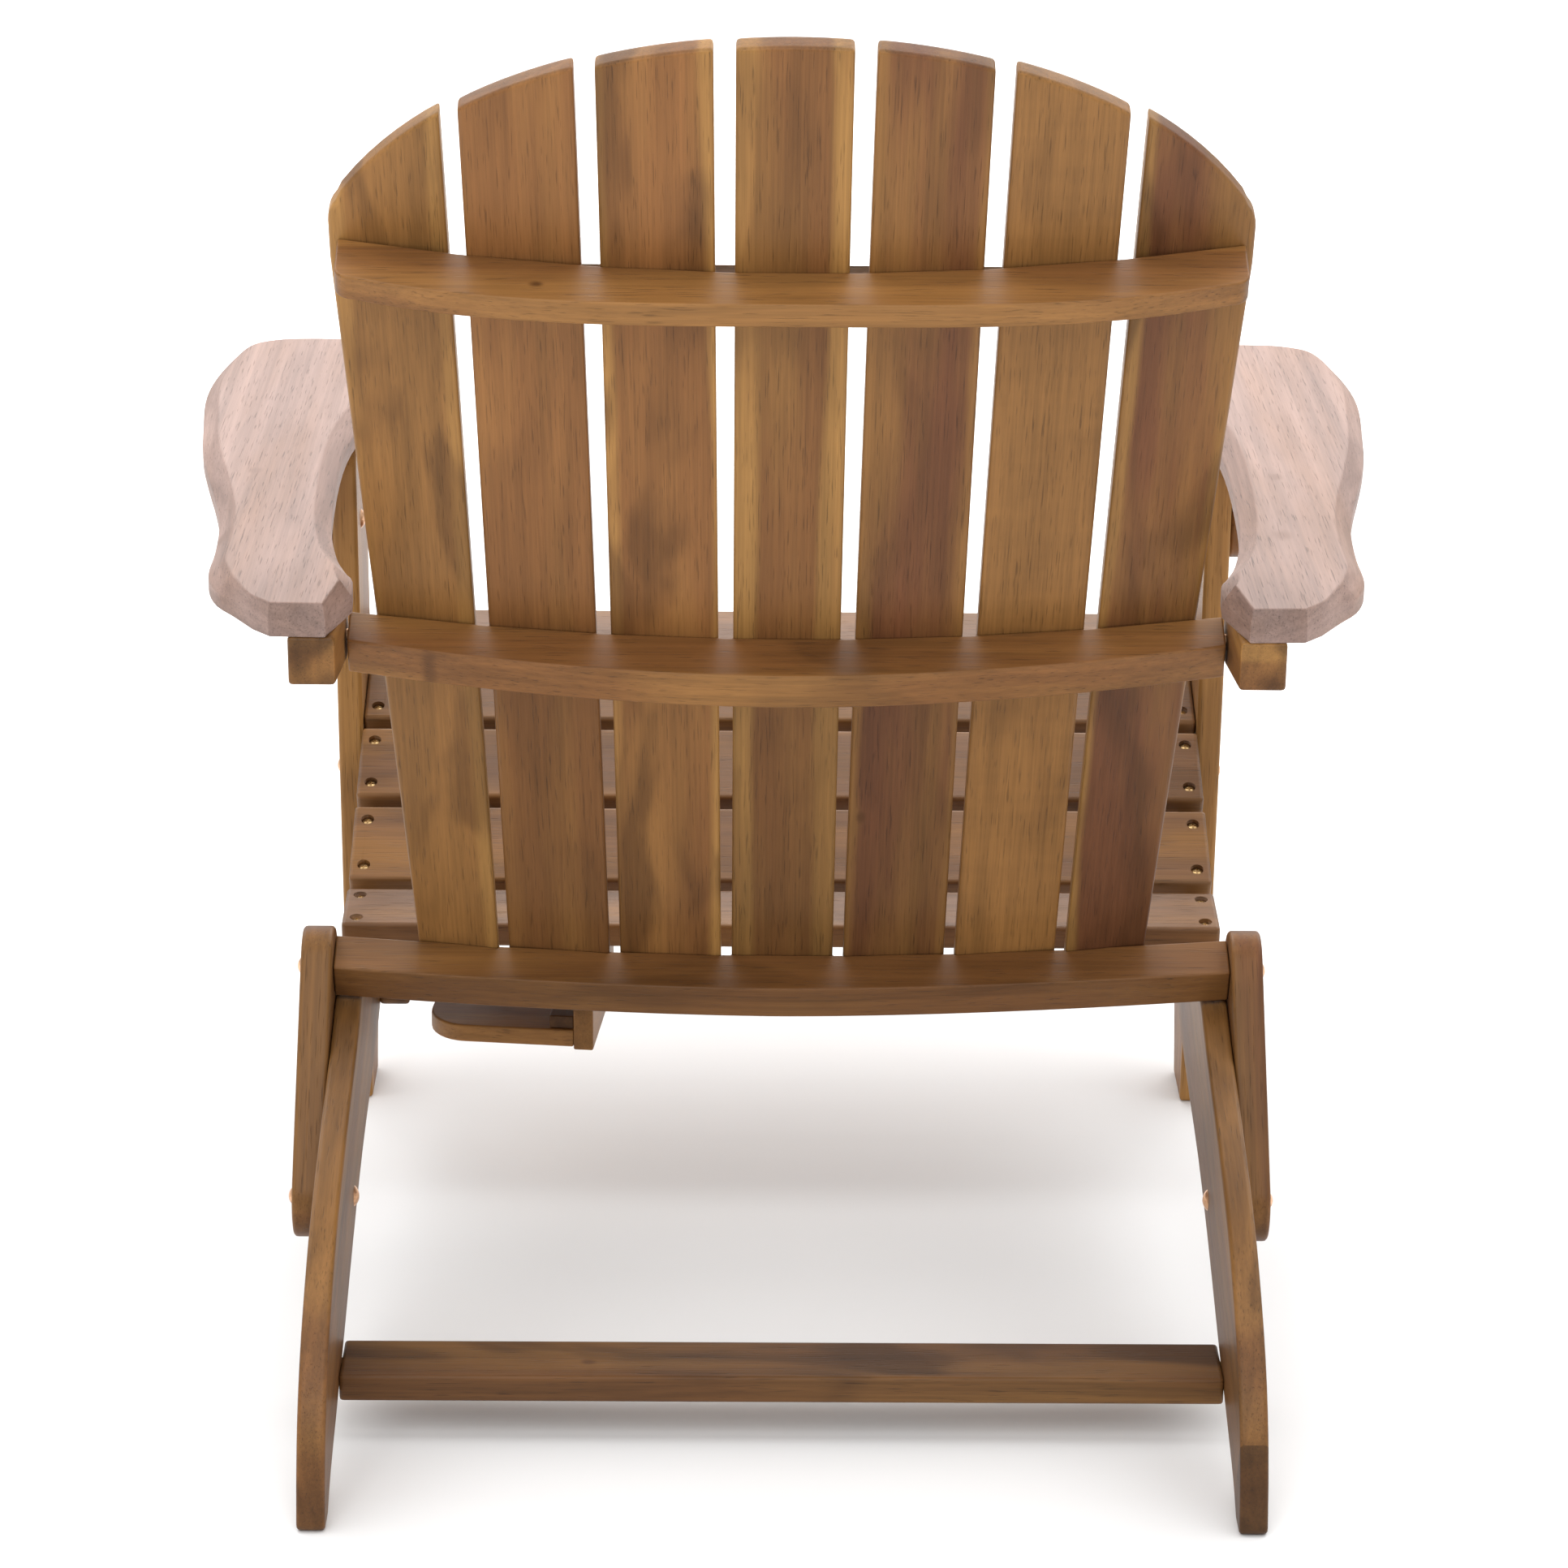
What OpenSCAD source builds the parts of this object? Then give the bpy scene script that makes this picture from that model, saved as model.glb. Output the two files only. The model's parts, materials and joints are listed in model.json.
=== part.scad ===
// Folding adirondack chair. Millimetres, Z up, the sitter faces -Y, +X is the sitter's left.
// The origin is on the ground, under the middle of the chair's width and depth.

/* [Seat] */
// Width of the seat slats, side to side
seat_w = 560; // [500:5:600]
// Thickness of the seat slats
seat_t = 16; // [14:1:18]
// Front-to-back width of a seat slat
slat_w = 66; // [60:1:68]
// Front-to-back width of the rearmost seat slat
last_slat_w = 49; // [44:1:52]
// Gap between seat slats
slat_gap = 10; // [6:1:11]
// Height of the seat's front edge
seat_front_h = 310.5; // [305:0.5:316]
// Front edge of the seat, ahead of the middle of the chair
seat_front = 350; // [345:1:352]

/* [Frame] */
// Thickness of the side boards and the front legs
board_t = 16.6; // [15:0.1:18]
// Height of the arm tops above the ground
arm_top = 502.3; // [495:0.1:510]
// Thickness of the arms
arm_t = 20.5; // [18:0.5:22]
// Chamfer along the upper edges of the arms
arm_chamfer = 10.5; // [6:0.5:12]
// Front-to-back width of the front legs
leg_w = 79; // [70:1:84]
// Depth of the rear stretcher, which lies flat
stretcher_w = 45.6; // [35:0.1:50]
// Thickness of the rear stretcher
stretcher_t = 17; // [14:1:20]

/* [Back] */
// Lean of the back from upright, in degrees
recline = 19.9; // [18:0.1:22]
// Width of a back slat
back_slat_w = 63; // [58:1:64]
// Thickness of a back slat
back_t = 13; // [11:1:15]
// Spacing of the back slats at the lower rail
pitch_low = 69.6; // [69:0.1:71]
// Spacing of the back slats at the top
pitch_high = 75; // [74:0.1:76]
// Length of the middle back slat
back_len = 682; // [676:1:688]
// Thickness of the lower and middle back rails
rail_t = 24; // [20:1:26]
// Thickness of the upper back rail
upper_rail_t = 15; // [12:1:18]

/* [Hardware] */
// Diameter of the pivot bolts
bolt_d = 6; // [5:0.5:8]
// Diameter of the domed bolt heads
bolt_head_d = 13; // [11:0.5:15]
// Diameter of the counterbores over the wood screws
counterbore_d = 8.5; // [7:0.5:9.5]

/* [Cup holder] */
// Diameter of the cup hole
cup_d = 80; // [70:1:84]
// Thickness of the cup holder's boards
cup_board_t = 12; // [10:1:13]

/* [Hidden] */
$fn = 48;

running = 0.05;                       // radial clearance of a bolt in the part that turns on it
side_gap = 0.4;                       // gap between boards that slide past each other
bolt_r = bolt_d / 2;
hole_r = bolt_r + running;
head_h = 4;
screw_r = 3.6;

// X planes, outwards from the middle
board_in = 262.2;
board_out = board_in + board_t;
link_in = board_out + side_gap;
link_t = 19.4;
leg_in = board_out + 1.5;
leg_out = leg_in + board_t;
bracket_in = leg_out + side_gap;
bracket_t = 26;
block_in = 259;
block_t = 27;
mid_rail_half = 257.4;

// Pivots, as [y, z]
leg_pivot = [-240, 236];
arm_pivot = [-240, 412];
back_pivot = [116, 457];
link_top = [39, 209.5];
link_foot = [134, 97];
arm_under = arm_top - arm_t;

// Lower end of the middle back slat's rear face, and the back's length, thickness and side axes
back_base = [44, 222];
lower_t = -1.5;                       // top faces of the back rails, measured up the back
middle_t = 254;
upper_t = 513.4;

// Points on a circle arc, from angle a0 to a1
function arc(c, r, a0, a1, n = 8) = [for (i = [0:n]) let (a = a0 + (a1 - a0) * i / n)
    [c[0] + r * cos(a), c[1] + r * sin(a)]];

// Smooth open curve through points, n steps between each two
function spline(p, n = 6) = let (m = len(p) - 1) concat([for (i = [0:m - 1], k = [0:n - 1])
    let (a = p[max(i - 1, 0)], b = p[i], c = p[i + 1], d = p[min(i + 2, m)], t = k / n)
    ((2 * b) + (c - a) * t + (2 * a - 5 * b + 4 * c - d) * t * t
        + (3 * b - a - 3 * c + d) * t * t * t) / 2], [p[m]]);

module bothsides() {
    children();
    mirror([1, 0, 0]) children();
}

// A board cut to a side outline in [y, z], standing between two X planes
module side_cut(x0, x1) {
    translate([x0, 0, 0]) rotate([90, 0, 90]) linear_extrude(x1 - x0) children();
}

// A round bar along X between two X planes
module x_bar(p, r, x0, x1) {
    translate([x0, p[0], p[1]]) rotate([0, 90, 0]) cylinder(r = r, h = x1 - x0);
}

// A low dome on the plane x, its top towards +X when side is 1
module x_dome(p, x, side = 1, d = bolt_head_d, h = head_h) {
    sphere_r = (d * d / 4 + h * h) / (2 * h);
    translate([x, p[0], p[1]]) rotate([0, 90 * side, 0]) intersection() {
        translate([0, 0, h - sphere_r]) sphere(r = sphere_r);
        cylinder(r = d, h = h + 1);
    }
}

// ---------- seat ----------
slat_tilt = [6.2, 18.7, 22, 24, 5];
slat_widths = [slat_w - 2, slat_w, slat_w, slat_w, last_slat_w];

// Front upper edge of slat i as [y, z]
function slat_front(i) = i == 0 ? [-seat_front, seat_front_h] :
    let (before = slat_front(i - 1), a = slat_tilt[i - 1], w = slat_widths[i - 1],
        g = (a + slat_tilt[i]) / 2)
    [before[0] + w * cos(a) + slat_gap * cos(g), before[1] - w * sin(a) - slat_gap * sin(g)];

// A point on slat i, along its width and down from its top face
function on_slat(i, along, down) = let (f = slat_front(i), a = slat_tilt[i])
    [f[0] + along * cos(a) - down * sin(a), f[1] - along * sin(a) - down * cos(a)];

screw_inset = 9;
screw_span = 0.31;                    // screws sit this share of the slat's width either side of its middle
counterbore_depth = 4;

module on_slat_screws(i) {
    w = slat_widths[i];
    for (x = [-seat_w / 2 + screw_inset, seat_w / 2 - screw_inset], s = [0.5 - screw_span, 0.5 + screw_span])
        let (p = on_slat(i, w * s, 0))
            translate([x, p[0], p[1]]) rotate([-slat_tilt[i], 0, 0]) children();
}

module seat_slat(i) {
    f = slat_front(i);
    color("#a8743f") difference() {
        translate([-seat_w / 2, f[0], f[1]]) rotate([-slat_tilt[i], 0, 0])
            translate([0, 0, -seat_t]) cube([seat_w, slat_widths[i], seat_t]);
        on_slat_screws(i) translate([0, 0, -counterbore_depth])
            cylinder(d = counterbore_d, h = counterbore_depth + 1);
        on_slat_screws(i) translate([0, 0, -seat_t - 1]) cylinder(r = 1.8, h = seat_t);
    }
}

// A wood screw with a domed cross head, its head's top at the origin and its shank down -Z
module wood_screw(shank, head_r = screw_r) {
    dome_h = 1.2;
    dome_r = (head_r * head_r + dome_h * dome_h) / (2 * dome_h);
    difference() {
        union() {
            translate([0, 0, -dome_h]) intersection() {
                translate([0, 0, dome_h - dome_r]) sphere(r = dome_r);
                cylinder(r = head_r, h = dome_h);
            }
            translate([0, 0, -2.4]) cylinder(r = head_r, h = 1.2);
            translate([0, 0, -2.4 - shank]) cylinder(r = 1.8, h = shank);
        }
        for (a = [0, 90]) rotate([0, 0, a]) translate([-2, -0.45, -1.1]) cube([4, 0.9, 2]);
    }
}

screw_sink = 1.6;
module seat_screws() {
    color("#b88a4a") for (i = [0:4]) on_slat_screws(i)
        translate([0, 0, -screw_sink]) wood_screw(seat_t + 14);
}

// ---------- side boards ----------
// Underside of each slat, then the tail's upper edge, the foot, the lower edge and the rounded front
tail_top = [[51, 190], [97, 175], [172, 156], [240, 135], [290, 110], [325, 85], [349, 57],
    [363, 28]];
foot_rear = 370;
lower_edge = [[349, 0], [326, 13], [272, 31], [222, 47], [148, 73], [72, 95], [-28, 113],
    [-128, 140], [-208, 170], [-268, 194]];
foot_round = 5;
nose_r = 42;
nose = [-300, 236];

function seat_line() = [for (i = [0:4], s = [0, 1])
    on_slat(i, s * slat_widths[i] + (i == 0 && s == 0 ? 4 : 0), seat_t)];

module side_outline() {
    polygon(concat(seat_line(), spline(tail_top, 4),
        arc([foot_rear - foot_round, foot_round], foot_round, 0, -90, 4),
        spline(lower_edge, 3), arc(nose, nose_r, 285, 180, 10)));
}

module side_board() {
    color("#9c6a37") difference() {
        side_cut(board_in, board_out) side_outline();
        x_bar(leg_pivot, hole_r, board_in - 1, board_out + 1);
        x_bar(link_foot, hole_r, board_in - 1, board_out + 1);
        for (i = [0:4], s = [0.5 - screw_span, 0.5 + screw_span])
            let (p = on_slat(i, slat_widths[i] * s, 0))
                translate([seat_w / 2 - screw_inset, p[0], p[1]]) rotate([-slat_tilt[i], 0, 0])
                    translate([0, 0, -screw_sink - 2.4 - seat_t - 14 - 0.5]) cylinder(r = 1.85, h = 32);
        for (p = frame_screw_places) {
            x_bar(p, 1.85, board_in - 1, board_out + 1);
            x_bar(p, 3.5, board_out - 3, board_out + 1);
        }
    }
}

module side_board_left() { side_board(); }
module side_board_right() { mirror([1, 0, 0]) side_board(); }

// ---------- stretchers ----------
stretcher_rear = 266;                 // rear face of the stretcher
stretcher_low = 27.6;
// Cross board under the front of the seat, which the cup holder turns on
cross_y = -322;
cross_w = 50;
cross_low = 202.2;
cross_t = 18;
stretcher_mid = [stretcher_rear - stretcher_w / 2, stretcher_low + stretcher_t / 2];

module rear_stretcher() {
    color("#8f5f30") difference() {
        translate([-board_in, stretcher_rear - stretcher_w, stretcher_low])
            cube([2 * board_in, stretcher_w, stretcher_t]);
        frame_screw_holes();
    }
}

// Screws through the side boards into the ends of the stretcher and of the cross board
frame_screw_places = [for (s = [-1, 1]) [stretcher_mid[0] + s * 12, stretcher_mid[1]],
    for (s = [-1, 1]) [cross_y + cross_w / 2 + s * 12, cross_low + cross_t / 2]];
frame_screw_len = 45;

module frame_screw_holes() {
    bothsides() for (p = frame_screw_places)
        x_bar(p, 1.85, board_out - frame_screw_len - 4, board_in + 1);
}

module frame_screws() {
    color("#b88a4a") bothsides() for (p = frame_screw_places)
        translate([board_out - 0.3, p[0], p[1]]) rotate([0, 90, 0]) wood_screw(frame_screw_len, 3.2);
}

module front_cross_board() {
    color("#8f5f30") difference() {
        translate([-board_in, cross_y, cross_low]) cube([2 * board_in, cross_w, cross_t]);
        translate([cup_pivot[0], cup_pivot[1], cross_low - 1]) cylinder(r = hole_r, h = cross_t + 2);
        frame_screw_holes();
    }
}

// Block on the inside of the left side board, against which the cup holder stops
module stop_block() {
    r = 6;
    low = 129.5;
    front = -112;
    wide = 36;
    color("#5b3a20") side_cut(board_in - 19.5, board_in) difference() {
        translate([front, low]) square([wide, 44.5]);
        for (s = [0, 1]) translate([front + s * wide, low]) difference() {
            translate([-r, -r]) square(2 * r);
            translate([s == 0 ? r : -r, r]) circle(r = r);
        }
    }
}

// ---------- pivot bolts ----------
module leg_bolts() {
    color("#b8763f") bothsides() {
        x_bar(leg_pivot, bolt_r, board_in - 0.01, leg_out);
        x_dome(leg_pivot, leg_out);
        x_dome(leg_pivot, board_in, -1, bolt_head_d, 3);
    }
}

module rear_leg_bolts() {
    color("#b8763f") bothsides() {
        x_bar(link_foot, bolt_r, board_in - 0.01, link_in + link_t);
        x_dome(link_foot, link_in + link_t);
        x_dome(link_foot, board_in, -1, bolt_head_d, 3);
    }
}

link_bolt_depth = 36;
module link_bolts() {
    color("#b8763f") bothsides() {
        x_bar(link_top, bolt_r, link_in - side_gap - link_bolt_depth, link_in + link_t);
        x_dome(link_top, link_in + link_t);
    }
}

// ---------- front legs ----------
leg_rear = -210;
leg_top = arm_under - 0.3;
module front_leg() {
    front = leg_rear - leg_w;
    top_r = 30;
    color("#9c6a37") difference() {
        side_cut(leg_in, leg_out) polygon(concat(
            [[leg_rear, 0]],
            [[leg_rear, leg_top - top_r]],
            arc([leg_rear - top_r, leg_top - top_r], top_r, 0, 90, 8),
            [[front, leg_top], [front, 150]],
            spline([[front, 110], [front + 6, 62], [front + 22, 22], [front + 30, 0]], 4)));
        x_bar(leg_pivot, hole_r, leg_in - 1, leg_out + 1);
        x_bar(arm_pivot, barrel_r, leg_in - 1, leg_out + 1);
    }
}
module front_leg_left() { front_leg(); }
module front_leg_right() { mirror([1, 0, 0]) front_leg(); }

// ---------- links ----------
link_r = 25;
module link() {
    d = link_foot - link_top;
    n = [-d[1], d[0]] * link_r / norm(d);
    color("#96602f") difference() {
        union() {
            side_cut(link_in, link_in + link_t)
                polygon([link_top + n, link_top - n, link_foot - n, link_foot + n]);
            x_bar(link_top, link_r, link_in, link_in + link_t);
            x_bar(link_foot, link_r, link_in, link_in + link_t);
        }
        x_bar(link_top, hole_r, link_in - 1, link_in + link_t + 1);
        x_bar(link_foot, hole_r, link_in - 1, link_in + link_t + 1);
    }
}
module link_left() { link(); }
module link_right() { mirror([1, 0, 0]) link(); }

// ---------- back ----------
// The back's own frame: X sideways, Y to the rear out of the back, Z up along the slats
module in_back() {
    translate([0, back_base[0], back_base[1]]) rotate([-recline, 0, 0]) children();
}

back_low = -26;                       // lower ends of the slats
seat_gap = 0.02;                      // clearance of the rails' flats from the slats
back_bolt_depth = 20;                 // how far the pivot bolts reach into the middle rail
bow_low = 2.213e-4;                   // bow of the slats' rear faces: depth = bow * x * x
bow_high = 4.8e-4;
function pitch(t) = pitch_low + (pitch_high - pitch_low) * (t - lower_t) / (back_len + back_low);
function share(t) = (t - lower_t) / (upper_t - lower_t);
// Depth of slat i's middle line at height t: a straight line between the two outer rails
function slat_depth(i, t) = let (a = pow(i * pitch(lower_t), 2) * bow_low,
    b = pow(i * pitch(upper_t), 2) * bow_high) -(a + (b - a) * share(t));
function bow(t) = -slat_depth(1, t) / pow(pitch(t), 2);

arch_rise = 211;                      // the tops of the slats follow an ellipse
arch_half = 280;
function arch(x) = back_len + back_low - arch_rise * (1 - sqrt(1 - pow(x / arch_half, 2)));

// Half widths: the outermost slats narrow towards their foot
edge_low = 226;
edge_high = 256;
edge_full_t = 500;
function slat_left(i, t) = i * pitch(t) - back_slat_w / 2;
function slat_right(i, t) = i < 3 ? i * pitch(t) + back_slat_w / 2
    : edge_low + (edge_high - edge_low) * min(1, (t - back_low) / (edge_full_t - back_low));

corner_r = 22;
module slat_outline(i) {
    l0 = slat_left(i, back_low);
    r0 = slat_right(i, back_low);
    t_top = arch(i * pitch(640));
    l1 = slat_left(i, t_top);
    r1 = slat_right(i, t_top);
    steps = 8;
    top = [for (k = [0:steps]) let (x = l1 + (r1 - l1) * k / steps) [x, arch(x)]];
    end = i < 3 ? top : concat([for (k = [0:steps - 1]) top[k]],
        arc([r1 - corner_r, arch(r1) - corner_r * 0.35], corner_r, 40, 0, 4),
        [[slat_right(i, edge_full_t), edge_full_t]]);
    polygon(concat([[l0, back_low]], end, [[r0, back_low]]));
}

module back_screw_places(i) {
    for (t = [lower_t - rail_t / 2, middle_t - rail_t / 2, upper_t - upper_rail_t / 2], s = [-1, 1]) {
        x = (slat_left(i, t) + slat_right(i, t)) / 2 + s * 17;
        mid = i * pitch(t);
        lean = atan(2 * bow(t) * mid);
        depth = slat_depth(i, t) - 2 * bow(t) * mid * (x - mid) - back_t / cos(lean);
        translate([x, depth, t]) rotate([0, 0, -lean]) rotate([90, 0, 0]) children();
    }
}

// Board that slat i is cut from, its rear face moved back by gap; i counts from the middle
module slat_blank(i, gap = 0) {
    lean = atan(bow_low * 2 * i * pitch(lower_t) + bow_high * 2 * i * pitch(upper_t)) / 2;
    slope = atan((slat_depth(i, upper_t) - slat_depth(i, lower_t)) / (upper_t - lower_t));
    translate([i * pitch(lower_t), slat_depth(i, lower_t), lower_t])
        rotate([-slope, 0, -lean]) translate([-80, -back_t, -60]) cube([160, back_t + gap, 800]);
}

// Slat i; its flat rear face lies along the rails' bow
module back_slat_right_half(i) {
    difference() {
        intersection() {
            translate([0, 40, 0]) rotate([90, 0, 0]) linear_extrude(120) slat_outline(i);
            slat_blank(i);
        }
        back_screw_places(i) translate([0, 0, -counterbore_depth]) cylinder(d = counterbore_d, h = 40);
        back_screw_places(i) translate([0, 0, -30]) cylinder(r = 1.85, h = 40);
    }
}

module back_slat(i) {
    color("#a5713a") in_back() if (i < 0) mirror([1, 0, 0]) back_slat_right_half(-i);
        else back_slat_right_half(i);
}

module back_screws() {
    color("#b88a4a") in_back() for (i = [-3:3]) mirror([i < 0 ? 1 : 0, 0, 0])
        back_screw_places(abs(i)) translate([0, 0, -screw_sink]) wood_screw(back_t + 10);
}

// A bowed rail. Its front edge is a row of flats, one for each slat; its rear edge is a curve
module bowed_rail(t, thick, half, depth, drop, power, end_r) {
    p = pitch(t - thick / 2);
    k = bow(t - thick / 2);
    flats = [for (i = [-3.5:1:3.5]) [i * p, -k * (i * i - 0.25) * p * p]];
    slope = k * 6 * p;
    ends = [half, -k * 9 * p * p - slope * (half - 3 * p)];
    inner = [for (v = flats) if (abs(v[0]) < 3.2 * p) v];
    n = 24;
    x_end = half - end_r;
    rear = [for (j = [-n:n]) let (x = x_end * j / n) [x, depth - drop * pow(abs(x) / half, power)]];
    y_end = rear[2 * n][1];
    rounding = end_r > 0 ? arc([x_end, y_end - end_r], end_r, 90, 0, 6) : [[half, y_end]];
    outline = concat([[-ends[0], ends[1]]], inner, [ends], [for (j = [len(rounding) - 1:-1:0]) rounding[j]],
        [for (j = [2 * n:-1:0]) rear[j]], [for (v = rounding) [-v[0], v[1]]]);
    translate([0, 0, t - thick]) linear_extrude(thick) polygon(outline);
}

module rail_screw_holes() {
    for (i = [-3:3]) mirror([i < 0 ? 1 : 0, 0, 0])
        back_screw_places(abs(i)) translate([0, 0, -screw_sink - 2.4 - back_t - 10.5])
            cylinder(r = 1.85, h = 40);
}

// The blanks of the slats, which the rails' flats are cut to
module slat_blanks() {
    for (i = [-3:3]) mirror([i < 0 ? 1 : 0, 0, 0]) intersection() {
        translate([0, 40, 0]) rotate([90, 0, 0]) linear_extrude(120) slat_outline(abs(i));
        slat_blank(abs(i), seat_gap);
    }
}

module lower_back_rail() {
    color("#94622f") difference() {
        in_back() difference() {
            bowed_rail(lower_t, rail_t, board_out, 31.2, 17.2, 1.7, 0);
            rail_screw_holes();
            slat_blanks();
        }
        bothsides() x_bar(link_top, bolt_r + 0.02, board_out - link_bolt_depth - 0.5, board_out + 1);
    }
}

module middle_back_rail() {
    color("#94622f") difference() {
        in_back() difference() {
            bowed_rail(middle_t, rail_t, mid_rail_half, 35.4, 31, 1.8, 0);
            rail_screw_holes();
            slat_blanks();
        }
        bothsides() x_bar(back_pivot, bolt_r + 0.02, mid_rail_half - back_bolt_depth - 0.5, mid_rail_half + 1);
    }
}

module upper_back_rail() {
    color("#94622f") in_back() difference() {
        bowed_rail(upper_t, upper_rail_t, 251, 31.5, 27, 3.4, 10);
        rail_screw_holes();
        slat_blanks();
    }
}

// ---------- arms ----------
// Outline of the left arm seen from above, as [x, y]: outer edge from the front, then the inner edge
arm_outer = [[316, -370], [338, -368.5], [355, -362], [368, -350], [376, -325], [381, -280], [381, -238],
    [376, -183], [370, -128], [361, -78], [350, -23], [343, 22], [340, 72], [340, 103], [338, 122],
    [331.5, 142], [320.5, 159], [307, 181]];
arm_rear = [[296, 193], [264, 194]];
arm_inner = [[252, 151], [254, 123], [258, 112], [266, 85], [273, 42], [277, -8], [280, -91],
    [278, -157], [268, -222], [256, -275], [252, -316], [262, -352], [282, -368]];

fade_end = 178;                       // the chamfer fades out towards the rear of the arm
fade_length = 40;
fade_least = 0.15;

// Moves each point of a closed anticlockwise outline inwards along its bisector, by d or the faded d
function inset(p, d) = [for (i = [0:len(p) - 1]) let (
    a = p[(i + len(p) - 1) % len(p)], b = p[i], c = p[(i + 1) % len(p)],
    u = (b - a) / norm(b - a), v = (c - b) / norm(c - b), s = u + v,
    n = [-s[1], s[0]] / norm(s), k = max(0.35, u[0] * n[1] - u[1] * n[0]))
    b + n * d * max(fade_least, min(1, (fade_end - b[1]) / fade_length)) / k];

// Triangles between two chains of point numbers that both run rearwards; y holds each point's y
function strip(o, q, y, i = 0, j = 0) =
    let (o_last = i == len(o) - 1, q_last = j == len(q) - 1)
    o_last && q_last ? [] :
    q_last || (!o_last && y[o[i + 1]] <= y[q[j + 1]]) ?
        concat([[o[i], o[i + 1], q[j]]], strip(o, q, y, i + 1, j)) :
        concat([[o[i], q[j + 1], q[j]]], strip(o, q, y, i, j + 1));

module arm() {
    outer = concat(spline(arm_outer, 3), [arm_rear[0]]);
    edge = concat(outer, [arm_rear[1]], spline(arm_inner, 3));
    n = len(edge);
    m = len(outer);
    top = inset(edge, arm_chamfer);
    loops = concat([for (v = edge) [v[0], v[1], arm_under]],
        [for (v = edge) [v[0], v[1], arm_top - arm_chamfer]],
        [for (v = top) [v[0], v[1], arm_top]]);
    walls = [for (j = [0, 1], i = [0:n - 1], half = [0, 1]) let (k = (i + 1) % n)
        half == 0 ? [j * n + i, (j + 1) * n + i, (j + 1) * n + k] : [j * n + i, (j + 1) * n + k, j * n + k]];
    out_side = [for (i = [0:m - 1]) i];
    in_side = [for (i = [n - 1:-1:m]) i];
    below = strip(out_side, in_side, [for (v = edge) v[1]]);
    above = strip(out_side, in_side, [for (v = top) v[1]]);
    color("#b9896a") difference() {
        polyhedron(loops, concat(below,
            [for (f = above) [2 * n + f[2], 2 * n + f[1], 2 * n + f[0]]], walls));
        arm_screw_holes();
    }
}
module arm_left() { arm(); }
module arm_right() { mirror([1, 0, 0]) arm(); }

// Block under the rear of the arm: round about the pivot, square at the rear
block_r = 16;
block_rear = 194;
block_low = 453;
module arm_block() {
    color("#7d532b") difference() {
        side_cut(block_in, block_in + block_t) polygon(concat(
            arc(back_pivot, block_r, 180, 270, 8),
            [[block_rear, block_low], [block_rear, arm_under], [back_pivot[0] - block_r, arm_under]]));
        x_bar(back_pivot, hole_r, block_in - 1, block_in + block_t + 1);
        arm_screw_holes();
    }
}
module arm_block_left() { arm_block(); }
module arm_block_right() { mirror([1, 0, 0]) arm_block(); }

module arm_bolts() {
    color("#b8763f") bothsides() {
        x_bar(back_pivot, bolt_r, mid_rail_half - back_bolt_depth, block_in + block_t);
        x_dome(back_pivot, block_in + block_t);
    }
}

// Screws from below, through the blocks and brackets into the arms
arm_screw_head = 462;
arm_screw_places = [[block_in + 13, 150], [block_in + 13, 180],
    [bracket_in + 13, arm_pivot[0] - 32], [bracket_in + 13, arm_pivot[0] + 32]];

module at_arm_screws() {
    for (p = arm_screw_places) translate([p[0], p[1], arm_screw_head]) rotate([180, 0, 0]) children();
}

module arm_screw_holes() {
    at_arm_screws() translate([0, 0, -2.5]) cylinder(r = 3.9, h = 90);
    at_arm_screws() translate([0, 0, -35]) cylinder(r = 1.85, h = 36);
}

module arm_screws() {
    color("#b88a4a") bothsides() at_arm_screws() wood_screw(31);
}

// Bracket under the front of the arm, outside the front leg
module arm_bracket() {
    color("#96602f") difference() {
        side_cut(bracket_in, bracket_in + bracket_t) polygon(concat(
            arc(arm_pivot, 22, 180, 360, 12),
            [[arm_pivot[0] + 42, arm_under], [arm_pivot[0] - 42, arm_under]]));
        x_bar(arm_pivot, bolt_r + 0.02, bracket_in - 1, bracket_in + bracket_t + 1);
        arm_screw_holes();
    }
}
module arm_bracket_left() { arm_bracket(); }
module arm_bracket_right() { mirror([1, 0, 0]) arm_bracket(); }

module bracket_bolts() {
    color("#b8763f") bothsides() {
        x_bar(arm_pivot, bolt_r, bracket_in, bracket_in + bracket_t);
        x_dome(arm_pivot, bracket_in + bracket_t);
    }
}

// Barrel nuts in the leg tops, which the bracket bolts screw into
barrel_r = 4;
module leg_barrel_nuts() {
    color("#b8763f") bothsides() {
        x_bar(arm_pivot, barrel_r - 0.02, leg_in - 0.01, leg_out - 0.5);
        x_dome(arm_pivot, leg_in, -1, bolt_head_d, 3);
    }
}

// ---------- cup holder ----------
cup_pivot = [176, -297];
cup_low = 106;
cup_top = 200;
cup_in = 98;
cup_wall_t = 13;
cup_out = 209;
cup_rear = -71;
cup_depth = 104;
cup_mid = [(cup_in + cup_wall_t + cup_out) / 2, cup_rear - cup_depth / 2];
tray_turn = 6;                        // the tray stands turned a little about its bolt
module at_tray() {
    translate([cup_pivot[0], cup_pivot[1], 0]) rotate([0, 0, -tray_turn])
        translate([-cup_pivot[0], -cup_pivot[1], 0]) children();
}

module cup_shelf() {
    r = 26;
    color("#a8743f") at_tray() translate([cup_in + cup_wall_t, cup_rear - cup_depth, cup_low])
        linear_extrude(cup_board_t)
        polygon(concat([[0, 0]], arc([cup_out - cup_in - cup_wall_t - r, r], r, -90, 0, 8),
            arc([cup_out - cup_in - cup_wall_t - r, cup_depth - r], r, 0, 90, 8), [[0, cup_depth]]));
}

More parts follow.
